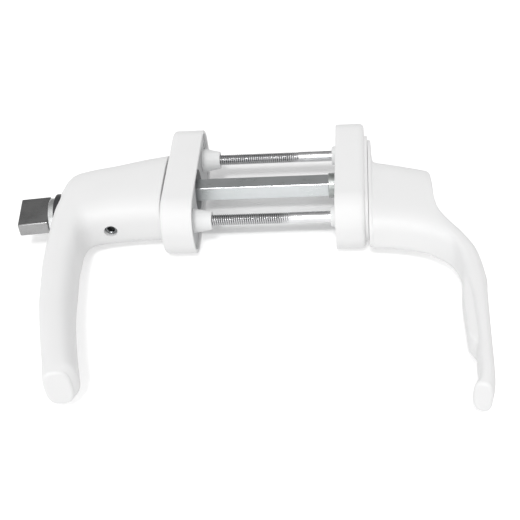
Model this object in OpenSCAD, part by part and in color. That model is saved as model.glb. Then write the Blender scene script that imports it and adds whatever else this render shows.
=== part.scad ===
// Two-sided handle set for a balcony or terrace door, shown as it is fitted.
// X runs along the square spindle: the lockable handle is on the -X side of the door and the
// plain handle on the +X side. Z is up and both levers hang straight down. The origin is on the
// spindle's axis, half way through the door. Sizes are in millimetres.

/* [Door and screws] */
// Thickness of the door between the two rosettes
door_gap = 61; // [45:1:80]
// Distance between the centres of the two screws
screw_pitch = 43; // [41:0.5:46]
// Diameter of the screws over their thread
screw_d = 4.9; // [4.5:0.1:5.2]
// Diameter of the screws' countersunk heads
screw_head_d = 9; // [8:0.1:9.6]
// Height of the screws' heads
screw_head_h = 2.6; // [2:0.1:3]
// Length of screw that stands out of the far sleeve's inner end
screw_over = 1; // [0.5:0.5:2]

/* [Spindle] */
// Side of the square spindle
spindle_w = 7; // [6:0.5:8]
// Width of the flats on the spindle's edges
spindle_edge = 0.5; // [0.3:0.1:0.8]
// Depth of the spindle in the lockable handle
spindle_in_left = 28; // [24:1:32]
// Depth of the spindle in the plain handle
spindle_in_right = 10; // [8:0.5:11]
// Clearance on each side of the spindle in its sockets
socket_clear = 0.05; // [0.02:0.01:0.1]

/* [Rosettes] */
// Height of the rosettes
rosette_h = 69; // [66:1:80]
// Width of the rosettes
rosette_w = 28.6; // [28:0.2:34]
// Thickness of the lockable side's rosette
left_rosette_t = 14; // [13:0.2:18]
// Thickness of the plain side's rosette
right_rosette_t = 12.8; // [12:0.2:18]
// Corner radius of the rosettes
rosette_r = 12.6; // [8:0.2:13.8]
// Radius of the rosettes' outer edge
rosette_edge = 2.2; // [1:0.1:3]
// Thickness of the rosettes' side wall
rosette_wall = 1.6; // [1.2:0.1:2]
// Thickness of the rosettes' face
rosette_face = 2; // [1.6:0.1:2.6]
// Clearance between the rosettes and what sits in them
cover_clear = 0.1; // [0.05:0.01:0.2]

/* [Base plates and sleeves] */
// Thickness of the base plates
plate_t = 3; // [2.5:0.1:3.5]
// Depth of the base plates behind the rosettes' rim
plate_sunk = 1.2; // [0.5:0.1:1.5]
// Diameter of a threaded sleeve at its base
sleeve_d = 10.8; // [10:0.1:11.4]
// Diameter of a threaded sleeve at its end
sleeve_end_d = 8; // [7:0.1:8.6]
// Length of the lockable side's sleeves outside the rosette
left_sleeve_out = 7; // [4:0.5:9]
// Length of the plain side's sleeves outside the rosette
right_sleeve_out = 2.2; // [1:0.1:4]
// Diameter of a sleeve's stem in its plate
sleeve_stem_d = 7.2; // [6.6:0.1:7.6]
// Thickness of the flange that holds a sleeve in its plate
sleeve_flange_t = 1.2; // [0.8:0.1:1.6]
// Width of the rib on the lockable side's upper sleeve
sleeve_rib_w = 3; // [2:0.5:4]
// Height of that rib over the sleeve's base
sleeve_rib_h = 3; // [1:0.5:5]
// Radial clearance of the screws in the sleeves
screw_clear = 0.06; // [0.03:0.01:0.1]
// Height of the raised oval collar on the plain side
collar_h = 60; // [56:0.5:62]
// Width of the raised oval collar
collar_w = 23; // [21:0.2:25]
// Distance of the collar's middle below the spindle's axis
collar_drop = 2.3; // [0:0.1:3]
// Thickness of the raised oval collar
collar_t = 1.35; // [1:0.05:3.5]

/* [Detent] */
// Diameter of the hole in the lockable side's plate, where the detent's disc shows
plate_hole_d = 18.8; // [17:0.2:19.6]
// Height of the detent ring over its base plate
ring_t = 4.4; // [4:0.1:4.8]
// Radial wall of the detent ring
ring_wall = 2.1; // [1.5:0.1:2.4]
// Diameter of a detent ball
ball_d = 3; // [2.5:0.1:3.2]
// Depth of the notches that the balls drop into
notch_depth = 0.6; // [0.4:0.1:0.8]
// Wire of the detent springs
detent_wire = 0.4; // [0.3:0.05:0.5]

/* [Lockable handle] */
// Gap between the handle's neck and the rosette
left_gap = 1; // [0.3:0.1:1.4]
// Distance from the rosette to the handle's outer face
left_reach = 49.2; // [46:0.2:56]
// Distance from the spindle's axis to the tip of the lever
left_length = 118; // [105:1:135]
// Height of the neck at the rosette
left_neck_h = 42; // [40:0.5:46]
// Width of the neck at the rosette
left_neck_w = 24; // [23:0.5:27]
// Radius of the edge round the flat tip
left_tip_r = 1.3; // [0.6:0.1:2]

/* [Plain handle] */
// Distance from the collar to the handle's outer face
right_reach = 46.2; // [42:0.2:50]
// Distance from the spindle's axis to the tip of the lever
right_length = 125.7; // [112:0.1:140]
// Height of the neck at the collar
right_neck_h = 46; // [43:0.5:50]
// Width of the neck at the collar
right_neck_w = 20; // [19:0.5:23]
// Radius of the edge round the flat tip
right_tip_r = 1.5; // [0.6:0.1:2]
// Width of the rib behind the lever
rib_w = 11; // [8:0.5:13]
// How far the rib stands out of the lever
rib_t = 3; // [2:0.2:4]

/* [Hub] */
// Diameter of the hubs that turn in the rosettes
spigot_d = 16; // [15:0.2:16.6]
// Depth of a hub's seat in the neck of its handle
hub_seat = 2; // [1.4:0.2:2.4]
// Thickness of the bushes round the spigots
bush_wall = 1.9; // [1.4:0.1:2]
// Thickness of the bushes' flange
bush_flange_t = 1; // [0.8:0.1:1.2]
// Thickness of the retaining rings
clip_t = 0.7; // [0.5:0.05:0.9]
// Radial clearance of everything that turns
turn_clear = 0.06; // [0.03:0.01:0.09]
// Gap between the turning pieces and what they turn on
neck_gap = 0.25; // [0.15:0.05:0.4]
// Diameter of the metal hub that shows behind the plain side's plate
hub_d = 13; // [12:0.2:14]
// Length of that hub outside the rosette
hub_out = 4.4; // [3:0.2:6]
// Chamfer on the end of that hub
hub_edge = 0.6; // [0.3:0.1:1]

/* [Lock] */
// Height of the lock's axis below the spindle's
lock_drop = 15; // [14:0.2:16]
// Diameter of the lock's cylinder
barrel_d = 16.6; // [15:0.2:17]
// Length of the lock's cylinder
barrel_l = 19; // [18:0.5:22]
// How far the cylinder stands out past the handle's outer face
barrel_out = 1.8; // [1:0.2:4]
// How far the cylinder can be pushed in
push_travel = 2.6; // [1.5:0.1:3]
// Wall of the guide ring round the cylinder
guide_wall = 1.5; // [1:0.1:2]
// Length of the guide ring
guide_l = 7; // [5:0.5:9]
// Diameter of the plug that the key turns
plug_d = 11; // [10:0.2:12]
// Diameter of the pin that locks the handle to its rosette
bolt_d = 3.6; // [3:0.1:4]
// Distance of that pin from the lock's axis, towards the door's frame
bolt_side = 6.2; // [6:0.1:6.4]
// Wire of the spring behind the cylinder
lock_wire = 0.8; // [0.6:0.05:0.9]
// Diameter of that spring
lock_spring_d = 7.4; // [6.8:0.1:7.6]

/* [Key] */
// Width of the key's block across the spindle's direction
bow_w = 18.3; // [15:0.1:20]
// Length of the key's block away from the door
bow_l = 13.6; // [11:0.2:16]
// Thickness of the key's block
bow_t = 6.5; // [5:0.1:8]
// Angle at which the block leans on the key's blade
bow_lean = 5.8; // [0:0.2:6]
// Height of the key's block above the middle of its blade
bow_up = 1.1; // [0:0.1:2]
// Radius of the block's edges
bow_edge = 0.7; // [0.4:0.1:1.2]
// Gap between the block and the lock's face
bow_gap = 1; // [0.9:0.1:2]
// Width of the key's blade
blade_w = 8; // [7:0.1:8.4]
// Thickness of the key's blade
blade_t = 2.4; // [2:0.1:2.6]

/* [Grub screw] */
// Diameter of the grub screw
grub_d = 5.6; // [5:0.1:6]
// Length of the grub screw
grub_l = 22; // [20:0.5:23]
// Wall between the grub screw and the lock's bore
grub_wall = 0.8; // [0.6:0.1:3]
// Width across the flats of its hexagon socket
grub_socket = 3; // [2.5:0.1:3.2]

/* [Hidden] */

// Facets of round solids that are cut or turned
$fn = 64;
// Overrun of cuts past the solid
over = screw_d / 10;
// Points round a lever's section
SECTION_POINTS = 36;
// Rings between two stations of a lever
RINGS_BETWEEN = 3;

WHITE = "whitesmoke";
STEEL = "lightsteelblue";

// Places along one side of the door, measured outwards from the back of its rosette
plate_out = plate_sunk + plate_t;
left_neck_at = left_rosette_t + left_gap;
right_neck_at = right_rosette_t + collar_t + neck_gap;
left_outer = left_neck_at + left_reach;
disc_in = plate_out + neck_gap;
disc_out = plate_out + ring_t;
left_spigot_end = disc_out + neck_gap;
right_spigot_end = plate_out + 2 * sleeve_flange_t;

// Where a cover's face, its bush's flange and the retaining ring lie, by the cover's thickness
function face_in(t) = t - rosette_face;
function flange_in(t) = face_in(t) - bush_flange_t;
function clip_at(t) = flange_in(t) - neck_gap - clip_t;

// Radii round the spindle's axis
ring_r = rosette_w / 2 - rosette_wall - cover_clear;
race_r = ring_r - ring_wall;
disc_r = race_r - 5 * turn_clear;
ball_at = race_r - ball_d / 2 - turn_clear;
socket_w = spindle_w + 2 * socket_clear;
spigot_r = spigot_d / 2;
bush_r = spigot_r + turn_clear + bush_wall;
clip_groove_r = spigot_r - clip_t;
clip_r = spigot_r + clip_t;

// The lock's places along the handle, measured outwards from the back of the left rosette
barrel_face = left_outer + barrel_out;
barrel_in = barrel_face - barrel_l;
guide_out = left_outer - 4 * neck_gap;
guide_r = barrel_d / 2 + turn_clear + guide_wall;
lock_bore_in = barrel_in - push_travel - 4 * lock_wire;
bolt_tip = left_neck_at;
grub_at = lock_bore_in - grub_wall - grub_d / 2;

// The key stands in the plug, with its block just clear of the lock's face
bow_in = barrel_face + bow_gap;
blade_in = barrel_face - 0.75 * barrel_l;

// The neck of the lockable handle as shares of its reach, height and width, from the rosette
// outwards: upper point along and up, lower point along and up, width, rib, and how square the
// section is, where 2 is an ellipse
LEFT_NECK_SHARES = [
    [0, 0.402, 0, -0.6, 1, 0, 3.6],
    [0.217, 0.342, 0.217, -0.612, 1, 0, 3.6],
    [0.457, 0.26, 0.448, -0.633, 0.983, 0, 3.6],
    [0.732, 0.183, 0.6, -0.671, 0.967, 0, 3.6],
    [0.888, 0.1, 0.663, -0.736, 0.946, 0, 3.4],
    [0.957, -0.152, 0.685, -0.862, 0.925, 0, 3.2],
    [0.981, -0.524, 0.677, -1.029, 0.904, 0, 3]];
// Its lever in the same form, with the heights as shares of the length below the neck
LEFT_LEVER_SHARES = [
    [0.961, 0.054, 0.669, 0.054, 0.883, 0, 2.8],
    [0.937, 0.196, 0.644, 0.196, 0.871, 0, 2.8],
    [0.896, 0.403, 0.608, 0.403, 0.854, 0, 2.8],
    [0.841, 0.583, 0.559, 0.583, 0.838, 0, 2.8],
    [0.783, 0.749, 0.503, 0.749, 0.821, 0, 2.8],
    [0.732, 0.888, 0.451, 0.888, 0.8, 0, 2.8],
    [0.713, 0.948, 0.439, 0.936, 0.787, 0, 2.9],
    [0.693, 1, 0.472, 0.98, 0.758, 0, 3]];
// Where the lockable handle's lever begins, as a share of its neck's height
LEFT_BEND_SHARE = 1.1;
// The neck of the plain handle, in the same shares
RIGHT_NECK_SHARES = [
    [0, 0.576, 0, -0.8, 1.1, 0, 2.9],
    [0.017, 0.574, 0.017, -0.8, 1.1, 0, 2.9],
    [0.029, 0.548, 0.024, -0.798, 1.085, 0, 3],
    [0.035, 0.413, 0.03, -0.796, 1.05, 0, 3.4],
    [0.041, 0.228, 0.037, -0.791, 1.015, 0, 4],
    [0.063, 0.159, 0.058, -0.79, 1, 0, 4.4],
    [0.175, 0.12, 0.162, -0.8, 1, 0, 4.4],
    [0.29, 0.083, 0.268, -0.814, 1, 0, 4.4],
    [0.472, 0.024, 0.437, -0.859, 0.985, 0, 4.4],
    [0.567, -0.065, 0.524, -0.9, 0.97, 0, 4.2],
    [0.593, -0.217, 0.584, -0.937, 0.96, 0, 4],
    [0.591, -0.383, 0.636, -0.978, 0.95, 0, 3.8],
    [0.623, -0.565, 0.69, -1.017, 0.94, 0, 3.5],
    [0.708, -0.73, 0.742, -1.083, 0.93, 0, 3.3],
    [0.818, -0.889, 0.775, -1.193, 0.915, 0, 3.1],
    [0.935, -1.126, 0.79, -1.313, 0.905, 0, 3]];
// Its lever, with a rib towards the door that ends above the thicker tip
RIGHT_LEVER_SHARES = [
    [0.99, 0.042, 0.799, 0.042, 0.9, 0.2, 2.8],
    [0.986, 0.157, 0.825, 0.157, 0.895, 0.8, 2.8],
    [0.981, 0.274, 0.838, 0.274, 0.89, 1, 2.8],
    [0.975, 0.441, 0.846, 0.441, 0.88, 1, 2.8],
    [0.971, 0.545, 0.848, 0.545, 0.875, 0.967, 2.8],
    [0.97, 0.598, 0.848, 0.598, 0.87, 0.633, 2.8],
    [0.969, 0.635, 0.846, 0.635, 0.865, 0.133, 2.8],
    [0.968, 0.665, 0.845, 0.665, 0.86, 0, 2.8],
    [0.966, 0.748, 0.837, 0.748, 0.85, 0, 2.8],
    [0.963, 0.831, 0.838, 0.831, 0.84, 0, 2.8],
    [0.96, 0.889, 0.829, 0.889, 0.825, 0, 2.8],
    [0.955, 0.935, 0.812, 0.935, 0.805, 0, 2.8],
    [0.933, 1, 0.779, 0.982, 0.785, 0, 2.9]];
// Where the plain handle's lever begins, as a share of its neck's height
RIGHT_BEND_SHARE = 1.39;

// A point on a smooth curve through the rows of a table, at place t between rows i and i + 1
function curve(rows, i, t) =
    let (n = len(rows), a = rows[max(i - 1, 0)], b = rows[i], c = rows[min(i + 1, n - 1)],
        d = rows[min(i + 2, n - 1)])
    0.5 * (2 * b + (c - a) * t + (2 * a - 5 * b + 4 * c - d) * t * t
        + (3 * b - a - 3 * c + d) * t * t * t);

// All the rows of a table with the ones between them filled in
function smooth_rows(rows) = concat(
    [for (i = [0 : len(rows) - 2], k = [0 : RINGS_BETWEEN - 1]) curve(rows, i, k / RINGS_BETWEEN)],
    [rows[len(rows) - 1]]);

function bulge(v, power) = sign(v) * pow(abs(v), 2 / power);

// How much of the rib's depth a section has at a distance from its middle
function rib_part(y) =
    let (t = min(max((abs(y) - 0.4 * rib_w) / (0.2 * rib_w), 0), 1)) 1 - t * t * (3 - 2 * t);

// A section between an outer and an inner point of the XZ plane, a given width along Y, whose
// inner side can stand out as a rib
function section(row, n) =
    let (out = [row[0], row[1]], in = [row[2], row[3]], mid = (out + in) / 2, half = (out - in) / 2,
        inward = half / norm(half))
    [for (k = [0 : n - 1])
        let (a = 360 * k / n, y = row[4] / 2 * bulge(sin(a), row[6]),
            rib = cos(a) < 0 ? max(row[5], 0) * rib_part(y) : 0,
            p = mid + half * bulge(cos(a), row[6]) - inward * rib)
        [p[0], y, p[1]]];

// A closed skin over rings of points
module skin(rings) {
    n = len(rings[0]);
    m = len(rings);
    sides = [for (i = [0 : m - 2], k = [0 : n - 1]) each [
        [i * n + k, (i + 1) * n + k, i * n + (k + 1) % n],
        [(i + 1) * n + k, (i + 1) * n + (k + 1) % n, i * n + (k + 1) % n]]];
    start = [for (k = [0 : n - 1]) k];
    end = [for (k = [n - 1 : -1 : 0]) (m - 1) * n + k];
    polyhedron([for (r = rings) each r], concat([start, end], sides));
}

// Rows of a whole handle: its neck, its lever and the rounded edge of its flat tip
function handle_rows(at, reach, length, neck_h, neck_w, tip_r, neck_shares, lever_shares, bend) =
    let (rest = length - tip_r - bend * neck_h,
        neck = [for (s = neck_shares)
            [at + s[0] * reach, s[1] * neck_h, at + s[2] * reach, s[3] * neck_h, s[4] * neck_w,
                s[5] * rib_t, s[6]]],
        lever = [for (s = lever_shares)
            [at + s[0] * reach, -bend * neck_h - s[1] * rest, at + s[2] * reach,
                -bend * neck_h - s[3] * rest, s[4] * neck_w, s[5] * rib_t, s[6]]],
        rows = smooth_rows(concat(neck, lever)),
        last = rows[len(rows) - 1])
    concat(rows, [for (a = [30, 60, 90])
        let (cut = tip_r * (1 - cos(a)), z = tip_r * sin(a))
        [last[0] - cut, last[1] - z, last[2] + cut, last[3] - z, last[4] - 2 * cut, 0, last[6]]]);

module handle_skin(rows) {
    skin([for (r = rows) section(r, SECTION_POINTS)]);
}

// Places a piece of one side, drawn outwards from the back of its rosette
module at_left() {
    mirror([1, 0, 0]) translate([door_gap / 2, 0, 0]) children();
}

module at_right() {
    translate([door_gap / 2, 0, 0]) children();
}

// A round bar along X, from one place to another
module bar(from, to, r) {
    translate([from, 0, 0]) rotate([0, 90, 0]) cylinder(h = to - from, r = r);
}

module taper(from, to, r1, r2) {
    translate([from, 0, 0]) rotate([0, 90, 0]) cylinder(h = to - from, r1 = r1, r2 = r2);
}

module square_bar(from, to, w) {
    translate([from, -w / 2, -w / 2]) cube([to - from, w, w]);
}

// An upright plate with round corners
module round_plate(from, to, w, h, r) {
    translate([from, 0, 0]) rotate([90, 0, 90]) linear_extrude(to - from) union() {
        square([w, h - 2 * r], center = true);
        square([w - 2 * r, h], center = true);
        for (y = [-1, 1], z = [-1, 1]) translate([y * (w / 2 - r), z * (h / 2 - r)]) circle(r);
    }
}

// Outline of a plate with round corners, as a ring of points at a place along X
function plate_ring(x, w, h, r) = [for (q = [0 : 3], k = [0 : 8])
    let (a = 90 * q + 90 * k / 8, y = q == 0 || q == 3 ? 1 : -1, z = q < 2 ? 1 : -1)
    [x, y * (w / 2 - r) + r * cos(a), z * (h / 2 - r) + r * sin(a)]];

// A plate whose outer edge is rounded
module soft_plate(from, to, w, h, r, edge) {
    rows = concat([[from, 0]], [for (a = [0 : 18 : 90])
        [to - edge + edge * sin(a), edge * (1 - cos(a))]]);
    skin([for (s = rows) plate_ring(s[0], w - 2 * s[1], h - 2 * s[1], r - s[1])]);
}

// A coil spring along X, drawn as one swept wire
module coil(from, to, r, wire, turns, steps) {
    n = turns * steps;
    skin([for (i = [0 : n]) let (a = 360 * i / steps, x = from + wire / 2 + (to - from - wire) * i / n)
        [for (k = [0 : 5]) let (b = -60 * k, q = r + wire / 2 * cos(b))
            [x + wire / 2 * sin(b), q * cos(a), q * sin(a)]]]);
}

module spindle() {
    from = -door_gap / 2 - left_neck_at - spindle_in_left;
    to = door_gap / 2 + right_neck_at + spindle_in_right;
    h = spindle_w / 2;
    e = spindle_edge;
    color(STEEL) translate([from, 0, 0]) rotate([90, 0, 90]) linear_extrude(to - from)
        polygon([[h - e, -h], [h, e - h], [h, h - e], [h - e, h], [e - h, h], [-h, h - e],
            [-h, e - h], [e - h, -h]]);
}

module screw() {
    far = -door_gap / 2 - plate_out - sleeve_flange_t - screw_over;
    head = door_gap / 2 + plate_out + sleeve_flange_t + neck_gap;
    color(STEEL) difference() {
        union() {
            bar(far, head + screw_head_h / 2, screw_d / 2);
            taper(head, head + screw_head_h / 2, screw_d / 2, screw_head_d / 2);
            bar(head + screw_head_h / 2, head + screw_head_h, screw_head_d / 2);
        }
        // cross recess
        for (a = [0, 90]) rotate([a, 0, 0])
            translate([head + screw_head_h / 3, -screw_d / 10, -screw_d / 2])
                cube([screw_head_h, screw_d / 5, screw_d]);
    }
}

module upper_screw() {
    translate([0, 0, screw_pitch / 2]) screw();
}

module lower_screw() {
    translate([0, 0, -screw_pitch / 2]) screw();
}

// A rosette is a hollow cover with a hole for the bush
module rosette(t) {
    color(WHITE) difference() {
        soft_plate(0, t, rosette_w, rosette_h, rosette_r, rosette_edge);
        round_plate(-over, face_in(t), rosette_w - 2 * rosette_wall, rosette_h - 2 * rosette_wall,
            rosette_r - rosette_wall);
        bar(0, t + over, bush_r + cover_clear);
        children();
    }
}

module left_rosette() {
    // the locking pin has a hole for each end of the handle's turn
    at_left() rosette(left_rosette_t) for (a = [0, 180]) rotate([a, 0, 0])
        translate([0, bolt_side, -lock_drop]) bar(0, left_neck_at, bolt_d / 2 + neck_gap);
}

module right_rosette() {
    at_right() rosette(right_rosette_t);
}

module plate_body() {
    w = rosette_w - 2 * rosette_wall - 2 * cover_clear;
    h = rosette_h - 2 * rosette_wall - 2 * cover_clear;
    difference() {
        round_plate(plate_sunk, plate_out, w, h, rosette_r - rosette_wall - cover_clear);
        for (z = [-1, 1]) translate([0, 0, z * screw_pitch / 2])
            bar(0, plate_out + over, sleeve_stem_d / 2);
        // lightening slots above and below the screws
        for (z = [-1, 1]) translate([0, 0, z * (screw_pitch / 2 + sleeve_d / 2 + rosette_wall)])
            translate([0, -sleeve_d / 2, -rosette_wall / 2])
                cube([plate_out + over, sleeve_d, rosette_wall]);
    }
}

module left_base_plate() {
    at_left() color(WHITE) difference() {
        union() {
            plate_body();
            bar(plate_out - over, disc_out, ring_r);
        }
        bar(0, plate_out + over, plate_hole_d / 2);
        bar(plate_out, disc_out + over, race_r);
        // four notches a quarter turn apart
        for (a = [0 : 90 : 270]) rotate([a, 0, 0]) translate([0, race_r + notch_depth - ball_d / 2, 0])
            bar(plate_out, disc_out + over, ball_d / 2);
    }
}

module right_base_plate() {
    at_right() color(WHITE) difference() {
        plate_body();
        bar(0, plate_out + over, hub_d / 2 + cover_clear);
    }
}

// A sleeve stands out of the back of its plate, and a flange holds it on the other side. A rib
// can run along its upper side
module sleeve(out, rib_h = 0) {
    color(WHITE) difference() {
        union() {
            taper(-out, plate_sunk, sleeve_end_d / 2, sleeve_d / 2);
            if (rib_h > 0) rotate([90, 0, 0]) linear_extrude(sleeve_rib_w, center = true)
                polygon([[-out, 0], [-out, sleeve_end_d / 2 - over],
                    [plate_sunk, sleeve_d / 2 + rib_h], [plate_sunk, 0]]);
            bar(plate_sunk, plate_out, sleeve_stem_d / 2 - cover_clear / 2);
            bar(plate_out, plate_out + sleeve_flange_t, sleeve_end_d / 2);
        }
        bar(-out - over, plate_out + sleeve_flange_t + over, screw_d / 2 + screw_clear);
    }
}

module left_upper_sleeve() {
    at_left() translate([0, 0, screw_pitch / 2]) sleeve(left_sleeve_out, sleeve_rib_h);
}

module left_lower_sleeve() {
    at_left() translate([0, 0, -screw_pitch / 2]) sleeve(left_sleeve_out);
}

module right_upper_sleeve() {
    at_right() translate([0, 0, screw_pitch / 2]) sleeve(right_sleeve_out);
}

module right_lower_sleeve() {
    at_right() translate([0, 0, -screw_pitch / 2]) sleeve(right_sleeve_out);
}

// The disc turns with the spindle and carries two balls on springs
module left_index_disc() {
    at_left() color("silver") difference() {
        bar(disc_in, disc_out, disc_r);
        square_bar(disc_in - over, disc_out + over, socket_w);
        for (a = [0, 180]) rotate([a, 0, 0])
            translate([(disc_in + disc_out) / 2, spindle_w / 2 + detent_wire * 2, 0])
                rotate([-90, 0, 0]) cylinder(h = race_r, r = ball_d / 2 + turn_clear);
    }
}

module detent_balls() {
    at_left() color("gainsboro") for (y = [-1, 1])
        translate([(disc_in + disc_out) / 2, y * ball_at, 0]) sphere(d = ball_d, $fn = 32);
}

module detent_springs() {
    from = spindle_w / 2 + detent_wire * 2 + socket_clear;
    at_left() color("gray") for (a = [0, 180]) rotate([a, 0, 0])
        translate([(disc_in + disc_out) / 2, 0, 0]) rotate([0, 0, 90])
            coil(from, ball_at - ball_d / 2 * cos(30), ball_d / 2 - detent_wire / 2 - 2 * turn_clear,
                detent_wire, 3, 12);
}

// Flanged bush in a rosette's hole
module bush(t) {
    color("ivory") difference() {
        union() {
            bar(face_in(t) - over, t, bush_r);
            bar(flange_in(t), face_in(t), bush_r + bush_flange_t);
        }
        bar(flange_in(t) - over, t + over, spigot_r + turn_clear);
    }
}

module left_bush() {
    at_left() bush(left_rosette_t);
}

module right_bush() {
    at_right() bush(right_rosette_t);
}

// Spring ring in a groove of a spigot, behind the bush
module retaining_ring() {
    color("dimgray") difference() {
        bar(0, clip_t, clip_r);
        bar(-over, clip_t + over, clip_groove_r + turn_clear);
        translate([-over, -clip_t, 0]) cube([clip_t + 2 * over, 2 * clip_t, clip_r + over]);
    }
}

module left_retaining_ring() {
    at_left() translate([clip_at(left_rosette_t), 0, 0]) retaining_ring();
}

module right_retaining_ring() {
    at_right() translate([clip_at(right_rosette_t), 0, 0]) retaining_ring();
}

// Turned hub of a handle: it is pressed into the neck and has the groove of its retaining ring
module hub_body(from, neck_at, groove_at) {
    difference() {
        bar(from, neck_at + hub_seat, spigot_r);
        difference() {
            bar(groove_at - turn_clear, groove_at + clip_t + turn_clear, spigot_r + over);
            bar(groove_at - over, groove_at + clip_t + over, clip_groove_r);
        }
    }
}

// Seat of a hub in the neck of its handle
module hub_recess(neck_at) {
    bar(neck_at - over, neck_at + hub_seat + turn_clear, spigot_r + turn_clear);
}

module left_hub() {
    at_left() color("silver") difference() {
        hub_body(left_spigot_end, left_neck_at, clip_at(left_rosette_t));
        square_bar(left_spigot_end - over, left_neck_at + hub_seat + over, socket_w);
    }
}

// The plain side's hub runs through its plate and shows behind it, with slits in its rim
module right_hub() {
    at_right() color("silver") difference() {
        union() {
            taper(-hub_out, -hub_out + hub_edge, hub_d / 2 - hub_edge, hub_d / 2);
            bar(-hub_out + hub_edge, right_spigot_end + hub_edge, hub_d / 2);
            hub_body(right_spigot_end, right_neck_at, clip_at(right_rosette_t));
        }
        square_bar(-hub_out - over, right_neck_at + hub_seat + over, socket_w);
        for (a = [45 : 90 : 315]) rotate([a, 0, 0])
            translate([-hub_out - over, -clip_t / 2, spindle_w / 2]) cube([hub_out, clip_t, hub_d]);
    }
}

left_rows = handle_rows(left_neck_at, left_reach, left_length, left_neck_h, left_neck_w,
    left_tip_r, LEFT_NECK_SHARES, LEFT_LEVER_SHARES, LEFT_BEND_SHARE);

// Height of the neck's lower side at the grub screw
grub_open = LEFT_NECK_SHARES[2][3] * left_neck_h;

module left_lever() {
    at_left() color(WHITE) difference() {
        handle_skin(left_rows);
        hub_recess(left_neck_at);
        square_bar(left_neck_at, left_neck_at + spindle_in_left + neck_gap, socket_w);
        translate([0, 0, -lock_drop]) bar(lock_bore_in, left_outer + left_reach,
            barrel_d / 2 + turn_clear);
        translate([0, 0, -lock_drop]) bar(guide_out - guide_l, left_outer + left_reach,
            guide_r + screw_clear);
        translate([0, bolt_side, -lock_drop]) bar(left_neck_at - over, lock_bore_in + over,
            bolt_d / 2 + turn_clear);
        translate([grub_at, 0, grub_open - left_neck_h / 4])
            cylinder(h = -grub_open + left_neck_h / 4, r = grub_d / 2 + screw_clear);
    }
}

module grub_screw() {
    top = -spindle_w / 2 - socket_clear;
    at_left() color("darkgray") translate([grub_at, 0, top - grub_l]) difference() {
        union() {
            cylinder(h = grub_l - grub_d / 8, r = grub_d / 2);
            translate([0, 0, grub_l - grub_d / 8])
                cylinder(h = grub_d / 8, r1 = grub_d / 2, r2 = grub_d / 4);
        }
        translate([0, 0, -over]) cylinder(h = grub_d / 2 + over, d = grub_socket / cos(30), $fn = 6);
        translate([0, 0, -over]) cylinder(h = grub_d / 10 + over, r1 = grub_d / 3, r2 = grub_socket / 2);
    }
}

// Dark ring in the mouth of the lock's bore, which guides the cylinder
module lock_guide() {
    at_left() translate([0, 0, -lock_drop]) color("dimgray") difference() {
        bar(guide_out - guide_l, guide_out, guide_r);
        bar(guide_out - guide_l - over, guide_out + over, barrel_d / 2 + turn_clear);
    }
}

// The lock's cylinder slides in the handle, with a rim round its face
module lock_barrel() {
    at_left() translate([0, 0, -lock_drop]) color("silver") difference() {
        union() {
            bar(barrel_in, barrel_face - bow_edge, barrel_d / 2);
            taper(barrel_face - bow_edge, barrel_face, barrel_d / 2, barrel_d / 2 - bow_edge);
        }
        bar(barrel_in + lock_wire, barrel_face + over, plug_d / 2 + turn_clear);
    }
}

// The plug turns in the cylinder and has the slot for the key
module lock_plug() {
    at_left() translate([0, 0, -lock_drop]) color("lightgray") difference() {
        bar(barrel_in + lock_wire + turn_clear, barrel_face - turn_clear, plug_d / 2);
        translate([blade_in - neck_gap, -blade_t / 2 - turn_clear, -blade_w / 2 - turn_clear])
            cube([barrel_l, blade_t + 2 * turn_clear, blade_w + 2 * turn_clear]);
    }
}

module locking_pin() {
    at_left() translate([0, bolt_side, -lock_drop]) color("silver") union() {
        bar(bolt_tip + bolt_d / 6, barrel_in, bolt_d / 2);
        taper(bolt_tip, bolt_tip + bolt_d / 6, bolt_d / 3, bolt_d / 2);
    }
}

module lock_spring() {
    at_left() translate([0, 0, -lock_drop]) color("gray")
        coil(lock_bore_in, barrel_in, lock_spring_d / 2 - lock_wire / 2, lock_wire, 3, 14);
}

// Cuts of the key's blade, as shares of its width
KEY_CUT_SHARES = [0.2, 0.32, 0.14, 0.26];

module key_blade() {
    step = (barrel_face - blade_in) / (len(KEY_CUT_SHARES) + 1);
    at_left() translate([0, 0, -lock_drop]) color("silver") difference() {
        translate([blade_in, -blade_t / 2, -blade_w / 2])
            cube([bow_in + bow_l / 2 - blade_in, blade_t, blade_w]);
        // V cuts along the lower edge
        for (i = [0 : len(KEY_CUT_SHARES) - 1]) let (d = KEY_CUT_SHARES[i] * blade_w)
            translate([blade_in + step * (i + 1), 0, -blade_w / 2]) rotate([90, 0, 0])
                linear_extrude(blade_t * 2, center = true)
                    polygon([[-d, -over], [d, -over], [d / 4, d], [-d / 4, d]]);
        // side groove
        translate([blade_in - over, blade_t / 4, -blade_w / 8])
            cube([bow_in - bow_gap - blade_in, blade_t, blade_w / 4]);
    }
}

// The block that the fingers hold, over the blade's outer end
module key_bow() {
    at_left() translate([0, 0, -lock_drop]) color("gray") difference() {
        e = bow_edge;
        translate([bow_in, 0, bow_up]) rotate([0, bow_lean, 0]) translate([-bow_in, 0, 0]) hull() {
            translate([bow_in + e, -bow_t / 2, e - bow_w / 2])
                cube([bow_l - 2 * e, bow_t, bow_w - 2 * e]);
            translate([bow_in, e - bow_t / 2, e - bow_w / 2])
                cube([bow_l, bow_t - 2 * e, bow_w - 2 * e]);
            translate([bow_in + e, e - bow_t / 2, -bow_w / 2])
                cube([bow_l - 2 * e, bow_t - 2 * e, bow_w]);
        }
        translate([bow_in - over, -blade_t / 2, -blade_w / 2])
            cube([bow_l / 2 + over, blade_t, blade_w]);
    }
}

right_rows = handle_rows(right_neck_at, right_reach, right_length, right_neck_h, right_neck_w,
    right_tip_r, RIGHT_NECK_SHARES, RIGHT_LEVER_SHARES, RIGHT_BEND_SHARE);

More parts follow.
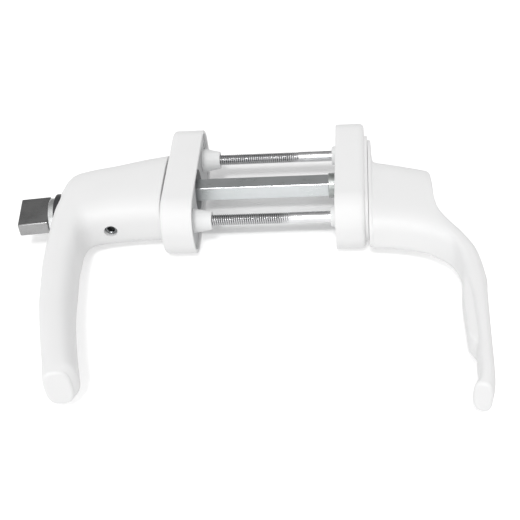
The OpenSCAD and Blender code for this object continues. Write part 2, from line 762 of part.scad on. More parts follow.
module right_lever() {
    at_right() color(WHITE) difference() {
        handle_skin(right_rows);
        hub_recess(right_neck_at);
        square_bar(right_neck_at, right_neck_at + spindle_in_right + neck_gap, socket_w);
    }
}

// Raised oval step between the plain side's rosette and its neck
module right_collar() {
    at_right() color(WHITE) difference() {
        translate([0, 0, -collar_drop]) soft_plate(right_rosette_t, right_rosette_t + collar_t,
            collar_w, collar_h, collar_w / 2 - over, collar_t / 3);
        bar(right_rosette_t - over, right_rosette_t + collar_t + over, spigot_r + turn_clear * 2);
    }
}

spindle();
upper_screw();
lower_screw();
left_lever();
grub_screw();
lock_guide();
lock_barrel();
lock_plug();
locking_pin();
lock_spring();
key_blade();
key_bow();
left_hub();
left_rosette();
left_base_plate();
left_upper_sleeve();
left_lower_sleeve();
left_index_disc();
detent_balls();
detent_springs();
left_bush();
left_retaining_ring();
right_lever();
right_rosette();
right_base_plate();
right_upper_sleeve();
right_lower_sleeve();
right_collar();
right_bush();
right_retaining_ring();
right_hub();
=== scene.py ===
"""Looks of the two-sided balcony door handle set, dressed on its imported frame.

Lengths below are in millimetres, along X (the spindle), Y and Z (up). The picture shows the set
lying on a pale table, so the table is the upright plane behind the set, on its +Y side.
"""
import math

import bpy
import bmesh
from mathutils import Matrix, Vector


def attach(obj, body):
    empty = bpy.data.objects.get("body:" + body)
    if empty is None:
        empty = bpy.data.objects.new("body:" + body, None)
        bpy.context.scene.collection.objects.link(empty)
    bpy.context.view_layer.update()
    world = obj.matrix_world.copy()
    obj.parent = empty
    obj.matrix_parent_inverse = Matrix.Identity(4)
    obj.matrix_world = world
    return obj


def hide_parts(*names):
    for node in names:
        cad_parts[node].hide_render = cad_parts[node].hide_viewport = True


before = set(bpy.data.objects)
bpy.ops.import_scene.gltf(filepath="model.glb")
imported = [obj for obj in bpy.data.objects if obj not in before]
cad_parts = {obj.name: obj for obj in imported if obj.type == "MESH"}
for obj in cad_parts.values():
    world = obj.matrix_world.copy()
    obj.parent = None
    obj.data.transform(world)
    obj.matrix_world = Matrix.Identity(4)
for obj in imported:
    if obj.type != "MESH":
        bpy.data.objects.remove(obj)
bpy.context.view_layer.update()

MM = 0.001
ROUND = 96              # points round a turned piece
PAST = 30               # overrun of a cutter that leaves its piece
LEFT, RIGHT = -1, 1     # the lockable handle's side and the plain handle's side along X

# Sizes that several pieces share. A place along the spindle is counted outwards from a rosette's back.
HALF_GAP = 30.5                         # half the thickness of the door between the rosettes
CLEAR = 0.06                            # between a turning piece and what carries it
SPINDLE_HALF = 3.5
SOCKET_HALF = SPINDLE_HALF + 0.05
SCREW_Z = 21.5                          # height of the screws above and below the spindle
ROSETTE_W, ROSETTE_H, ROSETTE_R = 28.6, 69, 12.6
ROSETTE_T = {LEFT: 14, RIGHT: 12.8}
COLLAR_OUT = 14.15                      # outer face of the plain side's oval step
NECK_AT = {LEFT: 15, RIGHT: 14.28}      # inner end of each neck
HUB_R = 8
HUB_END = {LEFT: 17, RIGHT: 16.4}
SOCKET_END = {LEFT: 43.25, RIGHT: 24.65}
RING_AT = {LEFT: 10.05, RIGHT: 8.85}    # where each retaining ring begins
RING_T = 0.7
BUSH_R = 9.96
BUSH_BORE_R = BUSH_R + 0.1              # the bush's hole in its cover
PIN_R, PIN_Y = 1.8, 6.2                 # locking pin
PIN_HOLE_R = 2.05                       # where it enters the cover
LOCK_Z = -15                            # height of the lock's middle
BARREL_R, PLUG_R = 8.3, 5.5
BARREL_IN, BARREL_OUT = 47, 66
LOCK_BORE_IN = 41.2
GUIDE_R, GUIDE_IN, GUIDE_OUT = 9.86, 56.2, 63.2
GRUB_X = LEFT * (HALF_GAP + 37.6)
GRUB_R, GRUB_HOLE_R = 2.75, 2.86
GRUB_LOW, GRUB_HIGH = -25.55, -3.56

# Materials


def new_material(name, color, rough, metallic=0.0, specular=0.5):
    """A Principled material, with its node tree and its shader."""
    mat = bpy.data.materials.new(name)
    mat.use_nodes = True
    tree = mat.node_tree
    shader = tree.nodes["Principled BSDF"]
    shader.inputs["Base Color"].default_value = (*color, 1)
    shader.inputs["Roughness"].default_value = rough
    shader.inputs["Metallic"].default_value = metallic
    shader.inputs["Specular IOR Level"].default_value = specular
    return mat, tree, shader


def add(tree, kind, **settings):
    """A new node with its inputs or its own settings set by name."""
    node = tree.nodes.new(kind)
    for key, value in settings.items():
        if key in node.inputs:
            node.inputs[key].default_value = value
        else:
            setattr(node, key, value)
    return node


def noise(tree, scale, detail=3.0, stretch=(1, 1, 1), rough=0.5):
    """Noise over the piece's own coordinates, scale in features a metre."""
    place = add(tree, "ShaderNodeTexCoord")
    move = add(tree, "ShaderNodeMapping")
    move.inputs["Scale"].default_value = stretch
    tex = add(tree, "ShaderNodeTexNoise")
    tex.inputs["Scale"].default_value = scale
    tex.inputs["Detail"].default_value = detail
    tex.inputs["Roughness"].default_value = rough
    tree.links.new(place.outputs["Object"], move.inputs["Vector"])
    tree.links.new(move.outputs["Vector"], tex.inputs["Vector"])
    return tex.outputs["Fac"]


def spread(tree, value, low, high, start=0.3, end=0.7):
    """Maps a noise value to a range."""
    node = add(tree, "ShaderNodeMapRange")
    node.inputs["From Min"].default_value = start
    node.inputs["From Max"].default_value = end
    node.inputs["To Min"].default_value = low
    node.inputs["To Max"].default_value = high
    tree.links.new(value, node.inputs["Value"])
    return node.outputs["Result"]


def tint(tree, value, dark, light):
    """Mixes two colours by a value."""
    node = add(tree, "ShaderNodeMix", data_type="RGBA")
    tree.links.new(value, node.inputs[0])
    node.inputs[6].default_value = (*dark, 1)
    node.inputs[7].default_value = (*light, 1)
    return node.outputs[2]


def bump(tree, shader, value, strength, distance):
    """Lets a value raise the surface of a shader."""
    node = add(tree, "ShaderNodeBump")
    node.inputs["Strength"].default_value = strength
    node.inputs["Distance"].default_value = distance
    tree.links.new(value, node.inputs["Height"])
    tree.links.new(node.outputs["Normal"], shader.inputs["Normal"])


def coating(name, dark, light, rough, grain, depth):
    """Smooth coating or moulded plastic with a faint orange peel and tone."""
    mat, tree, shader = new_material(name, light, rough, specular=0.3)
    tone = spread(tree, noise(tree, 30, 3), 0, 1)
    tree.links.new(tint(tree, tone, dark, light), shader.inputs["Base Color"])
    tree.links.new(spread(tree, noise(tree, 110, 3), rough - 0.03, rough + 0.04),
                   shader.inputs["Roughness"])
    bump(tree, shader, noise(tree, grain, 2), 0.2, depth)
    return mat


def metal(name, dark, light, rough, stretch, scale, depth, worn=0.08):
    """Bare or plated metal with drawn or turned lines and cloudy roughness."""
    mat, tree, shader = new_material(name, light, rough, metallic=1.0)
    lines = noise(tree, scale, 4, stretch, 0.6)
    cloud = noise(tree, 120, 5)
    tree.links.new(tint(tree, spread(tree, cloud, 0, 1), dark, light), shader.inputs["Base Color"])
    both = add(tree, "ShaderNodeMath", operation="ADD")
    tree.links.new(spread(tree, lines, -worn, worn), both.inputs[0])
    tree.links.new(spread(tree, cloud, rough - worn, rough + worn), both.inputs[1])
    tree.links.new(both.outputs[0], shader.inputs["Roughness"])
    bump(tree, shader, lines, 0.3, depth)
    return mat


WHITE = coating("white_coating", (0.84, 0.84, 0.84), (0.86, 0.86, 0.86), 0.5, 700, 0.000008)
PLASTIC = coating("white_plastic", (0.85, 0.855, 0.855), (0.875, 0.88, 0.88), 0.5, 1600, 0.00001)
BUSH = coating("bush_plastic", (0.62, 0.61, 0.58), (0.70, 0.69, 0.66), 0.5, 1500, 0.00001)
# near black: the guide ring's dark plastic, also painting the shade in the gap round the lock barrel
DARK_PLASTIC_AND_GAP_SHADE = coating("dark_plastic", (0.035, 0.035, 0.037), (0.055, 0.055, 0.058), 0.4, 1500, 0.00001)
# mid grey: the base plates' light coating, greyed further to paint the shade that falls in the
# rosettes' recess
PLATE_COAT_AND_RECESS_SHADE = coating("plate_coating", (0.48, 0.485, 0.49), (0.56, 0.565, 0.57), 0.45, 900, 0.00002)
SPINDLE = metal("spindle_steel", (0.64, 0.67, 0.67), (0.70, 0.72, 0.73), 0.3,
                (0.06, 1, 1), 1100, 0.000002, 0.03)
SCREW = metal("screw_steel", (0.62, 0.62, 0.63), (0.78, 0.78, 0.79), 0.26,
              (0.15, 1, 1), 1100, 0.000003, 0.03)
GRUB = metal("grub_steel", (0.15, 0.155, 0.16), (0.3, 0.31, 0.32), 0.3, (1, 1, 0.2), 900, 0.00001)
SPRING = metal("spring_steel", (0.42, 0.43, 0.44), (0.6, 0.6, 0.62), 0.3, (1, 1, 1), 900, 0.00001)
# near black: the disc's dark metal, made darker still to paint the shade of the recess round the
# spindle
DISC_METAL_AND_RECESS_SHADE = metal("disc_metal", (0.02, 0.02, 0.021), (0.07, 0.07, 0.072), 0.34, (1, 1, 1), 700, 0.00001)
HUB = metal("hub_metal", (0.30, 0.32, 0.31), (0.66, 0.68, 0.67), 0.42, (1, 0.6, 0.6), 1500, 0.00006)
LOCK = metal("lock_metal", (0.66, 0.67, 0.67), (0.78, 0.79, 0.79), 0.26,
             (1, 0.1, 0.1), 1300, 0.00001)
KEY = metal("key_metal", (0.30, 0.30, 0.30), (0.37, 0.37, 0.37), 0.3, (0.05, 1, 1), 1500, 0.00003)


def paint_groove_shade(mat, dark):
    """Paints shade into a material's colour, with the thread's oil, where its mesh says how deep a
    groove is.
    """
    tree = mat.node_tree
    color = tree.nodes["Principled BSDF"].inputs["Base Color"]
    bare = color.links[0].from_socket
    depth = add(tree, "ShaderNodeAttribute", attribute_name="groove")
    mixed = add(tree, "ShaderNodeMix", data_type="RGBA")
    tree.links.new(depth.outputs["Fac"], mixed.inputs[0])
    tree.links.new(bare, mixed.inputs[6])
    mixed.inputs[7].default_value = (*dark, 1)
    tree.links.new(mixed.outputs[2], color)


# the screw threads: painted shade in their grooves, along with their oil
paint_groove_shade(SCREW, (0.15, 0.15, 0.155))

# Helpers for meshes


def solid(name, shape, mat, sharp=32):
    """A piece from (points, faces) in millimetres, not yet dressed."""
    verts, faces = shape
    mesh = bpy.data.meshes.new(name)
    mesh.from_pydata([Vector(v) * MM for v in verts], [], faces)
    clean(mesh)
    obj = bpy.data.objects.new(name, mesh)
    bpy.context.scene.collection.objects.link(obj)
    obj.data.materials.append(mat)
    smooth(obj, sharp)
    return obj


def piece(name, shape, mat, body, node, sharp=32):
    """A whole piece that stands for one CAD node."""
    dress(solid(name, shape, mat, sharp), body, (node,))


def cutter(shape):
    """A solid that is only there to be taken away from a piece."""
    return solid("cutter", shape, WHITE)


def clean(mesh):
    """Merges double points, and turns all faces outwards."""
    work = bmesh.new()
    work.from_mesh(mesh)
    bmesh.ops.remove_doubles(work, verts=work.verts, dist=1e-7)
    bmesh.ops.dissolve_degenerate(work, edges=work.edges, dist=1e-8)
    bmesh.ops.recalc_face_normals(work, faces=work.faces)
    work.to_mesh(mesh)
    work.free()


def smooth(obj, angle):
    """Smooth shading, with sharp edges beyond an angle in degrees."""
    obj.data.shade_smooth()
    obj.data.set_sharp_from_angle(angle=math.radians(angle))


def dress(obj, body, nodes):
    """Lets a piece ride on a body and stand for CAD nodes."""
    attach(obj, body)
    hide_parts(*nodes)


def apply_modifiers(obj):
    """Bakes an object's modifiers into its mesh."""
    graph = bpy.context.evaluated_depsgraph_get()
    mesh = bpy.data.meshes.new_from_object(obj.evaluated_get(graph))
    obj.modifiers.clear()
    old = obj.data
    obj.data = mesh
    bpy.data.meshes.remove(old)


def soften(obj, width, segments):
    """Rounds the sharp edges of a piece."""
    mod = obj.modifiers.new("edge", "BEVEL")
    mod.width = width * MM
    mod.segments = segments
    mod.limit_method = "ANGLE"
    mod.angle_limit = math.radians(30)
    mod.harden_normals = False
    apply_modifiers(obj)


def remove(obj):
    """Takes an object and its mesh out of the file."""
    mesh = obj.data
    bpy.data.objects.remove(obj)
    bpy.data.meshes.remove(mesh)


def cut(obj, *tools):
    """Takes solids away from a piece, and removes them from the scene."""
    for tool in tools:
        mod = obj.modifiers.new("cut", "BOOLEAN")
        mod.operation = "DIFFERENCE"
        mod.solver = "EXACT"
        mod.object = tool
        apply_modifiers(obj)
        remove(tool)
    clean(obj.data)


def join(obj, other):
    """Adds another closed solid to a piece."""
    mod = obj.modifiers.new("join", "BOOLEAN")
    mod.operation = "UNION"
    mod.solver = "EXACT"
    mod.object = other
    apply_modifiers(obj)
    remove(other)


def loft(rings, closed=False):
    """Faces over rings of points, with flat ends unless the last ring meets the first."""
    n, m = len(rings[0]), len(rings)
    verts = [p for ring in rings for p in ring]
    faces = []
    for i in range(m if closed else m - 1):
        a, b = i * n, (i + 1) % m * n
        for k in range(n):
            faces.append((a + k, a + (k + 1) % n, b + (k + 1) % n, b + k))
    if not closed:
        faces.append(tuple(range(n))[::-1])
        faces.append(tuple(range((m - 1) * n, m * n)))
    return verts, faces


def soft_corners(points, radius, closed=True, steps=4):
    """A profile with its corners rounded. A point may state its own radius."""
    out, n = [], len(points)
    for i, here in enumerate(points):
        r = here[2] if len(here) > 2 else radius
        p = Vector(here[:2])
        if r <= 0 or (not closed and i in (0, n - 1)):
            out.append(tuple(p))
            continue
        a, b = Vector(points[i - 1][:2]) - p, Vector(points[(i + 1) % n][:2]) - p
        r = min(r, a.length * 0.45, b.length * 0.45)
        a, b = p + a.normalized() * r, p + b.normalized() * r
        for k in range(steps + 1):
            t = k / steps
            out.append(tuple(a * (1 - t) ** 2 + p * 2 * t * (1 - t) + b * t * t))
    return out


def circle(r, count):
    """Points of a circle, never so small that its middle closes up."""
    r = max(r, 1e-4)
    return [(r * math.cos(2 * math.pi * k / count), r * math.sin(2 * math.pi * k / count))
            for k in range(count)]


def out_at(side, place):
    """X of a place that is counted outwards from the back of a rosette."""
    return side * (HALF_GAP + place)


def turned(profile, side, height=0.0, closed=True):
    """A turned shape along X from (place, radius) points."""
    rings = [[(out_at(side, place), y, height + z) for y, z in circle(r, ROUND)]
             for place, r in soft_corners(profile, 0.15, closed)]
    return loft(rings, closed)


def upright(x, rows, count=48):
    """A turned shape along Z from (height, radius) points."""
    return loft([[(x + a, b, z) for a, b in circle(r, count)] for z, r in rows])


def box(low, high):
    """A plain box between two corners."""
    verts = [(x, y, z) for x in (low[0], high[0]) for y in (low[1], high[1])
             for z in (low[2], high[2])]
    return verts, [(0, 1, 3, 2), (4, 6, 7, 5), (0, 4, 5, 1), (2, 3, 7, 6), (0, 2, 6, 4), (1, 5, 7, 3)]


def drum(side, start, end, r, y=0.0, z=0.0, count=64):
    """A cutter along X between two places."""
    return cutter(loft([[(out_at(side, place), y + a, z + b) for a, b in circle(r, count)]
                        for place in (start, end)]))


def spoke(x, y0, y1, r):
    """A cutter along Y."""
    return cutter(loft([[(x + a, y, b) for a, b in circle(r, 32)] for y in (y0, y1)]))


def slab(side, start, end, half_y, low_z, high_z, turn=0, height=0.0):
    """A box-shaped cutter between two places, turned about X by degrees and raised."""
    obj = cutter(box((out_at(side, start), -half_y, low_z), (out_at(side, end), half_y, high_z)))
    obj.data.transform(Matrix.Translation((0, 0, height * MM))
                       @ Matrix.Rotation(math.radians(turn), 4, "X"))
    return obj


def square_hole(side, start, end):
    """A cutter for the spindle's square socket."""
    return slab(side, start, end, SOCKET_HALF, -SOCKET_HALF, SOCKET_HALF)


# Levers

# Rows of shares: place and height of the outer point, place and height of the inner point, width,
# thickness of the rib, and how square the section is
LEFT_NECK_SHARES = [
    (0, 0.402, 0, -0.6, 1, 0, 3.6),
    (0.217, 0.342, 0.217, -0.612, 1, 0, 3.6),
    (0.457, 0.26, 0.448, -0.633, 0.983, 0, 3.6),
    (0.732, 0.183, 0.6, -0.671, 0.967, 0, 3.6),
    (0.888, 0.1, 0.663, -0.736, 0.946, 0, 3.4),
    (0.957, -0.152, 0.685, -0.862, 0.925, 0, 3.2),
    (0.981, -0.524, 0.677, -1.029, 0.904, 0, 3)]
LEFT_LEVER_SHARES = [
    (0.961, 0.054, 0.669, 0.054, 0.883, 0, 2.8),
    (0.937, 0.196, 0.644, 0.196, 0.871, 0, 2.8),
    (0.896, 0.403, 0.608, 0.403, 0.854, 0, 2.8),
    (0.841, 0.583, 0.559, 0.583, 0.838, 0, 2.8),
    (0.783, 0.749, 0.503, 0.749, 0.821, 0, 2.8),
    (0.732, 0.888, 0.451, 0.888, 0.8, 0, 2.8),
    (0.713, 0.948, 0.439, 0.936, 0.787, 0, 2.9),
    (0.693, 1, 0.472, 0.98, 0.758, 0, 3)]
RIGHT_NECK_SHARES = [
    (0, 0.576, 0, -0.8, 1.1, 0, 2.9),
    (0.017, 0.574, 0.017, -0.8, 1.1, 0, 2.9),
    (0.029, 0.548, 0.024, -0.798, 1.085, 0, 3),
    (0.035, 0.413, 0.03, -0.796, 1.05, 0, 3.4),
    (0.041, 0.228, 0.037, -0.791, 1.015, 0, 4),
    (0.063, 0.159, 0.058, -0.79, 1, 0, 4.4),
    (0.175, 0.12, 0.162, -0.8, 1, 0, 4.4),
    (0.29, 0.083, 0.268, -0.814, 1, 0, 4.4),
    (0.472, 0.024, 0.437, -0.859, 0.985, 0, 4.4),
    (0.553, -0.006, 0.51, -0.892, 0.973, 0, 4.3),
    (0.58, -0.052, 0.54, -0.908, 0.968, 0, 4.2),
    (0.588, -0.12, 0.556, -0.918, 0.965, 0, 4.1),
    (0.593, -0.217, 0.584, -0.937, 0.96, 0, 4),
    (0.591, -0.383, 0.636, -0.978, 0.95, 0, 3.8),
    (0.623, -0.565, 0.69, -1.017, 0.94, 0, 3.5),
    (0.708, -0.73, 0.742, -1.083, 0.93, 0, 3.3),
    (0.818, -0.889, 0.775, -1.193, 0.915, 0, 3.1),
    (0.935, -1.126, 0.79, -1.313, 0.905, 0, 3)]
RIGHT_LEVER_SHARES = [
    (0.99, 0.042, 0.799, 0.042, 0.9, 0.2, 2.8),
    (0.986, 0.157, 0.825, 0.157, 0.895, 0.8, 2.8),
    (0.981, 0.274, 0.838, 0.274, 0.89, 1, 2.8),
    (0.975, 0.441, 0.846, 0.441, 0.88, 1, 2.8),
    (0.971, 0.545, 0.848, 0.545, 0.875, 0.967, 2.8),
    (0.97, 0.598, 0.848, 0.598, 0.87, 0.633, 2.8),
    (0.969, 0.635, 0.846, 0.635, 0.865, 0.133, 2.8),
    (0.968, 0.665, 0.845, 0.665, 0.86, 0, 2.8),
    (0.966, 0.748, 0.837, 0.748, 0.85, 0, 2.8),
    (0.963, 0.831, 0.838, 0.831, 0.84, 0, 2.8),
    (0.96, 0.889, 0.829, 0.889, 0.825, 0, 2.8),
    (0.955, 0.935, 0.812, 0.935, 0.805, 0, 2.8),
    (0.933, 1, 0.779, 0.982, 0.785, 0, 2.9)]
RIB_W, RIB_T = 11, 3


def curve_rows(rows, between):
    """Rows of a table with smooth ones filled in between them."""
    out, n = [], len(rows)
    for i in range(n - 1):
        a, b, c, d = (rows[max(i - 1, 0)], rows[i], rows[i + 1], rows[min(i + 2, n - 1)])
        for k in range(between):
            t = k / between
            out.append([0.5 * (2 * q + (r - p) * t + (2 * p - 5 * q + 4 * r - s) * t * t
                               + (3 * q - p - 3 * r + s) * t ** 3)
                        for p, q, r, s in zip(a, b, c, d)])
    return out + [list(rows[-1])]


def lever_rows(at, reach, length, neck_h, neck_w, tip_r, neck, lever, bend):
    """A lever's two tables in millimetres. The neck's heights end at its bend share."""
    rest = length - tip_r - bend * neck_h
    rows = [[at + s[0] * reach, s[1] * neck_h, at + s[2] * reach, s[3] * neck_h, s[4] * neck_w,
             s[5] * RIB_T, s[6]] for s in neck]
    return rows + [[at + s[0] * reach, -bend * neck_h - s[1] * rest, at + s[2] * reach,
                    -bend * neck_h - s[3] * rest, s[4] * neck_w, s[5] * RIB_T, s[6]]
                   for s in lever]


def round_ends(rows, edge, tip_r):
    """Adds a small edge round the neck's flat end at the rosette, and a rounded one at the tip."""
    first, last = rows[0], rows[-1]
    start = []
    for a in (0, 25, 50, 75):
        c = edge * (1 - math.sin(math.radians(a)))
        start.append([first[0] + edge * (1 - math.cos(math.radians(a))), first[1] - c,
                      first[2] + edge * (1 - math.cos(math.radians(a))), first[3] + c,
                      first[4] - 2 * c, 0, first[6]])
    rows = start + [row for row in rows if row[0] > first[0] + edge]
    for a in range(9, 91, 9):
        c, z = tip_r * (1 - math.cos(math.radians(a))), tip_r * math.sin(math.radians(a))
        rows.append([last[0] - c, last[1] - z, last[2] + c, last[3] - z, last[4] - 2 * c, 0,
                     last[6]])
    return rows


def lever_ring(side, row, count=112):
    """One section of a lever: a squarish oval, with the rib on its inner side."""
    xo, zo, xi, zi, w, rib, power = row
    mid, half = Vector(((xo + xi) / 2, (zo + zi) / 2)), Vector(((xo - xi) / 2, (zo - zi) / 2))
    ring = []
    for k in range(count):
        a = 2 * math.pi * k / count
        c, s = math.cos(a), math.sin(a)
        y = w / 2 * math.copysign(abs(s) ** (2 / power), s)
        t = min(max((abs(y) - 0.4 * RIB_W) / (0.2 * RIB_W), 0), 1)
        out = max(rib, 0) * (1 - t * t * (3 - 2 * t)) if c < 0 else 0
        p = mid + half * math.copysign(abs(c) ** (2 / power), c) - half.normalized() * out
        ring.append((out_at(side, p[0]), y, p[1]))
    return ring


def lever_skin(name, side, edge, tip_r, **sizes):
    """A lever's skin, with the recess for its hub and the spindle's socket."""
    rows = curve_rows(lever_rows(at=NECK_AT[side], tip_r=tip_r, **sizes), 9)
    obj = solid(name, loft([lever_ring(side, row) for row in round_ends(rows, edge, tip_r)]), WHITE)
    start = NECK_AT[side] - PAST
    cut(obj, drum(side, start, HUB_END[side] + CLEAR, HUB_R + CLEAR),
        square_hole(side, start, SOCKET_END[side]))
    return obj


left_lever = lever_skin("left_lever_skin", LEFT, edge=0.5, tip_r=1.3, reach=49.2, length=118,
                        neck_h=42, neck_w=24, neck=LEFT_NECK_SHARES, lever=LEFT_LEVER_SHARES,
                        bend=1.1)
cut(left_lever,
    drum(LEFT, LOCK_BORE_IN, BARREL_OUT + PAST, BARREL_R + CLEAR, 0, LOCK_Z, ROUND),
    drum(LEFT, GUIDE_IN, BARREL_OUT + PAST, GUIDE_R + CLEAR, 0, LOCK_Z, ROUND),
    drum(LEFT, NECK_AT[LEFT] - PAST, LOCK_BORE_IN + 0.3, PIN_R + CLEAR, PIN_Y, LOCK_Z, 32),
    cutter(upright(GRUB_X, [(-40, GRUB_HOLE_R + 0.09), (-3, GRUB_HOLE_R)])))
smooth(left_lever, 40)
dress(left_lever, "handle", ("left_lever",))

right_lever = lever_skin("right_lever_skin", RIGHT, edge=0.2, tip_r=1.5, reach=46.32,
                         length=125.7, neck_h=46, neck_w=20, neck=RIGHT_NECK_SHARES,
                         lever=RIGHT_LEVER_SHARES, bend=1.39)
smooth(right_lever, 40)
dress(right_lever, "handle", ("right_lever",))

# grub screw with a hexagon socket
GRUB_SOCKET_R, GRUB_SOCKET_END = 1.73, -22.6
grub = solid("grub_screw_body", upright(
    GRUB_X, [(GRUB_LOW, GRUB_R - 0.85), (GRUB_LOW + 0.05, GRUB_R - 0.4),
             (GRUB_LOW + 0.45, GRUB_R), (GRUB_HIGH - 0.74, GRUB_R),
             (GRUB_HIGH, GRUB_R - 1.35)]), GRUB)
cut(grub, cutter(upright(GRUB_X, [(GRUB_LOW - 1.45, GRUB_SOCKET_R),
                                  (GRUB_SOCKET_END, GRUB_SOCKET_R)], 6)),
    cutter(upright(GRUB_X, [(GRUB_LOW - 0.45, 2.3), (GRUB_LOW + 0.65, 1.3)])))
smooth(grub, 30)
dress(grub, "handle", ("grub_screw",))

# Rosettes and collar


def plate_ring(x, w, h, r, corner=20):
    """Outline of an upright plate with round corners."""
    ring = []
    for q, (sy, sz) in enumerate(((1, 1), (-1, 1), (-1, -1), (1, -1))):
        for k in range(corner + 1):
            a = math.pi / 2 * (q + k / corner)
            ring.append((x, sy * (w / 2 - r) + r * math.cos(a), sz * (h / 2 - r) + r * math.sin(a)))
    return ring


def circle_ring(x, r, like):
    """A circle whose points lie in the directions of another ring's points."""
    return [(x, r * y / math.hypot(y, z), r * z / math.hypot(y, z)) for _, y, z in like]


def inset(side, place, step, w=ROSETTE_W, h=ROSETTE_H, r=ROSETTE_R):
    """A plate's outline at a place, a step further in than its rim."""
    return plate_ring(out_at(side, place), w - 2 * step, h - 2 * step, r - step)


def rosette(side, name, edge):
    """A hollow cover with a round bore for its bush. Its edge is the radius of its outer rim."""
    t, wall, face = ROSETTE_T[side], 1.6, 2
    outer = soft_corners([(0, 0, 0.35), (t, 0, edge), (t, 6, 0)], 0.3, False, 10)[:-1]
    outer[:1] = soft_corners([(0, 1.0, 0), (0, 0, 0.35), (5, 0, 0)], 0.3, False)[:-1]
    rings = [inset(side, place, step) for place, step in outer]
    like = rings[-1]
    rings += [inset(side, t, 3)]
    rings += [circle_ring(out_at(side, place), BUSH_BORE_R + more, like) for place, more in
              ((t, 0.34), (t - 0.1, 0.08), (t - 0.3, 0), (t - face, 0))]
    inner = ((t - face, 3.5), (t - face, wall + 0.4), (t - face - 0.4, wall), (3, wall), (0.2, wall),
             (0, wall - 0.2))
    rings += [inset(side, place, step) for place, step in inner]
    return solid(name, loft(rings, True), WHITE, 35)


# the lockable side's cover has a hole for the locking pin at each end of the handle's turn
left_rosette = rosette(LEFT, "left_rosette_cover", 2.2)
cut(left_rosette, *[drum(LEFT, ROSETTE_T[LEFT] - 3, ROSETTE_T[LEFT] + 1, PIN_HOLE_R, way * PIN_Y,
                         way * LOCK_Z, 32) for way in (1, -1)])
smooth(left_rosette, 35)
dress(left_rosette, "door_side", ("left_rosette",))
right_rosette = rosette(RIGHT, "right_rosette_cover", 3)
dress(right_rosette, "door_side", ("right_rosette",))

COLLAR_IN, COLLAR_DROP = ROSETTE_T[RIGHT], 2.3
COLLAR_W, COLLAR_H, COLLAR_R = 23, 60, 11
outer = soft_corners([(COLLAR_IN, 0, 0), (COLLAR_OUT, 0, 0.45), (COLLAR_OUT, 4, 0)], 0.3, False, 8)
rings = [[(x, y, z - COLLAR_DROP) for x, y, z in inset(
    RIGHT, place, step, COLLAR_W, COLLAR_H, COLLAR_R)] for place, step in outer]
like = rings[0]
rings += [circle_ring(out_at(RIGHT, place), HUB_R + 2 * CLEAR, like)
          for place in (COLLAR_OUT, COLLAR_IN)]
piece("right_collar_ring", loft(rings, True), WHITE, "door_side", "right_collar",
      35)

# Spindle, screws and sleeves

SPINDLE_EDGE = 0.18
h, e = SPINDLE_HALF, SPINDLE_HALF - SPINDLE_EDGE
section = [(e, -h), (h, -e), (h, e), (e, h), (-e, h), (-h, e), (-h, -e), (-e, -h)]
spindle_end = {side: out_at(side, SOCKET_END[side] - 0.25) for side in (LEFT, RIGHT)}
ends = ((spindle_end[LEFT], 0.88), (spindle_end[LEFT] + 0.5, 1), (spindle_end[RIGHT] - 0.5, 1),
        (spindle_end[RIGHT], 0.88))
piece("spindle_bar", loft([[(x, y * s, z * s) for y, z in section] for x, s in ends]), SPINDLE,
      "handle", "spindle", 25)

PITCH, SCREW_R, THREAD_DEPTH = 0.95, 2.44, 0.34
SCREW_FROM, SCREW_TIP_R = -36.9, 1.75
THREAD_SHARES = (0, 0, 0.5, 1, 0.5, 0)      # depth of the thread round one pitch
THREAD_FADE = 5                             # length over which the painted shade and oil of the grooves fade out
HEAD_FROM, HEAD_TO, HEAD_R = 36.1, 38.75, 4.5


def screw_mesh(z0, thread_end):
    """A fixing screw: threaded from the lockable side to the middle, with a smooth shank."""
    start, count, profile, per = SCREW_FROM, 32, THREAD_SHARES, len(THREAD_SHARES)
    rings = [[(start, y, z0 + z) for y, z in circle(SCREW_TIP_R, count)]]
    # groove value: painted shade by thread depth, with the thread's oil, fading out towards the shank
    dark = [1] * count
    for i in range(int((thread_end - start) / PITCH * per) + 1):
        ring = []
        for k in range(count):
            u = i / per - k / count
            u -= math.floor(u)
            pos = u * per
            lo = int(pos) % per
            depth = profile[lo] + (profile[(lo + 1) % per] - profile[lo]) * (pos - int(pos))
            x = start + i / per * PITCH
            fade = max(min(1, (x - start) / 0.8 + 0.25, (thread_end - x) / 1.2), 0)
            r = SCREW_R - THREAD_DEPTH * (depth if x - start > 0.4 else 1) * fade
            dark.append((0.3 + 0.7 * depth) * min(1, max(0, thread_end - x) / THREAD_FADE))
            ring.append((x, r * math.cos(2 * math.pi * k / count),
                         z0 + r * math.sin(2 * math.pi * k / count)))
        rings.append(ring)
    for x, r in ((thread_end + 0.4, SCREW_R), (HEAD_FROM, SCREW_R), (HEAD_FROM + 1.4, HEAD_R - 0.05),
                 (HEAD_FROM + 1.5, HEAD_R), (HEAD_TO - 0.05, HEAD_R), (HEAD_TO, HEAD_R - 0.1)):
        rings.append([(x, y, z0 + z) for y, z in circle(r, count)])
    verts, faces = loft(rings)
    mesh = bpy.data.meshes.new("screw")
    mesh.from_pydata([Vector(v) * MM for v in verts], [], faces)
    shade = mesh.attributes.new("groove", "FLOAT", "POINT")
    shade.data.foreach_set("value", dark + [0.0] * (len(verts) - len(dark)))
    return mesh


for name, z0, thread_end in (("upper", SCREW_Z, 13.5), ("lower", -SCREW_Z, 11.0)):
    mesh = screw_mesh(z0, thread_end)
    screw = bpy.data.objects.new(name + "_screw_body", mesh)
    bpy.context.scene.collection.objects.link(screw)
    mesh.materials.append(SCREW)
    clean(mesh)
    cut(screw, *[slab(RIGHT, HEAD_FROM + 0.9 - HALF_GAP, HEAD_TO + 1.25 - HALF_GAP, 0.5, -2.45,
                      2.45, turn, z0) for turn in (0, 90)])
    smooth(screw, 30)
    dress(screw, "door_side", (name + "_screw",))


SLEEVE_OUT = {LEFT: 7, RIGHT: 2.2}      # how far the sleeves stand out of their plates
SLEEVE_SEAT = 1.15                      # how deep their shoulder lies in the plate


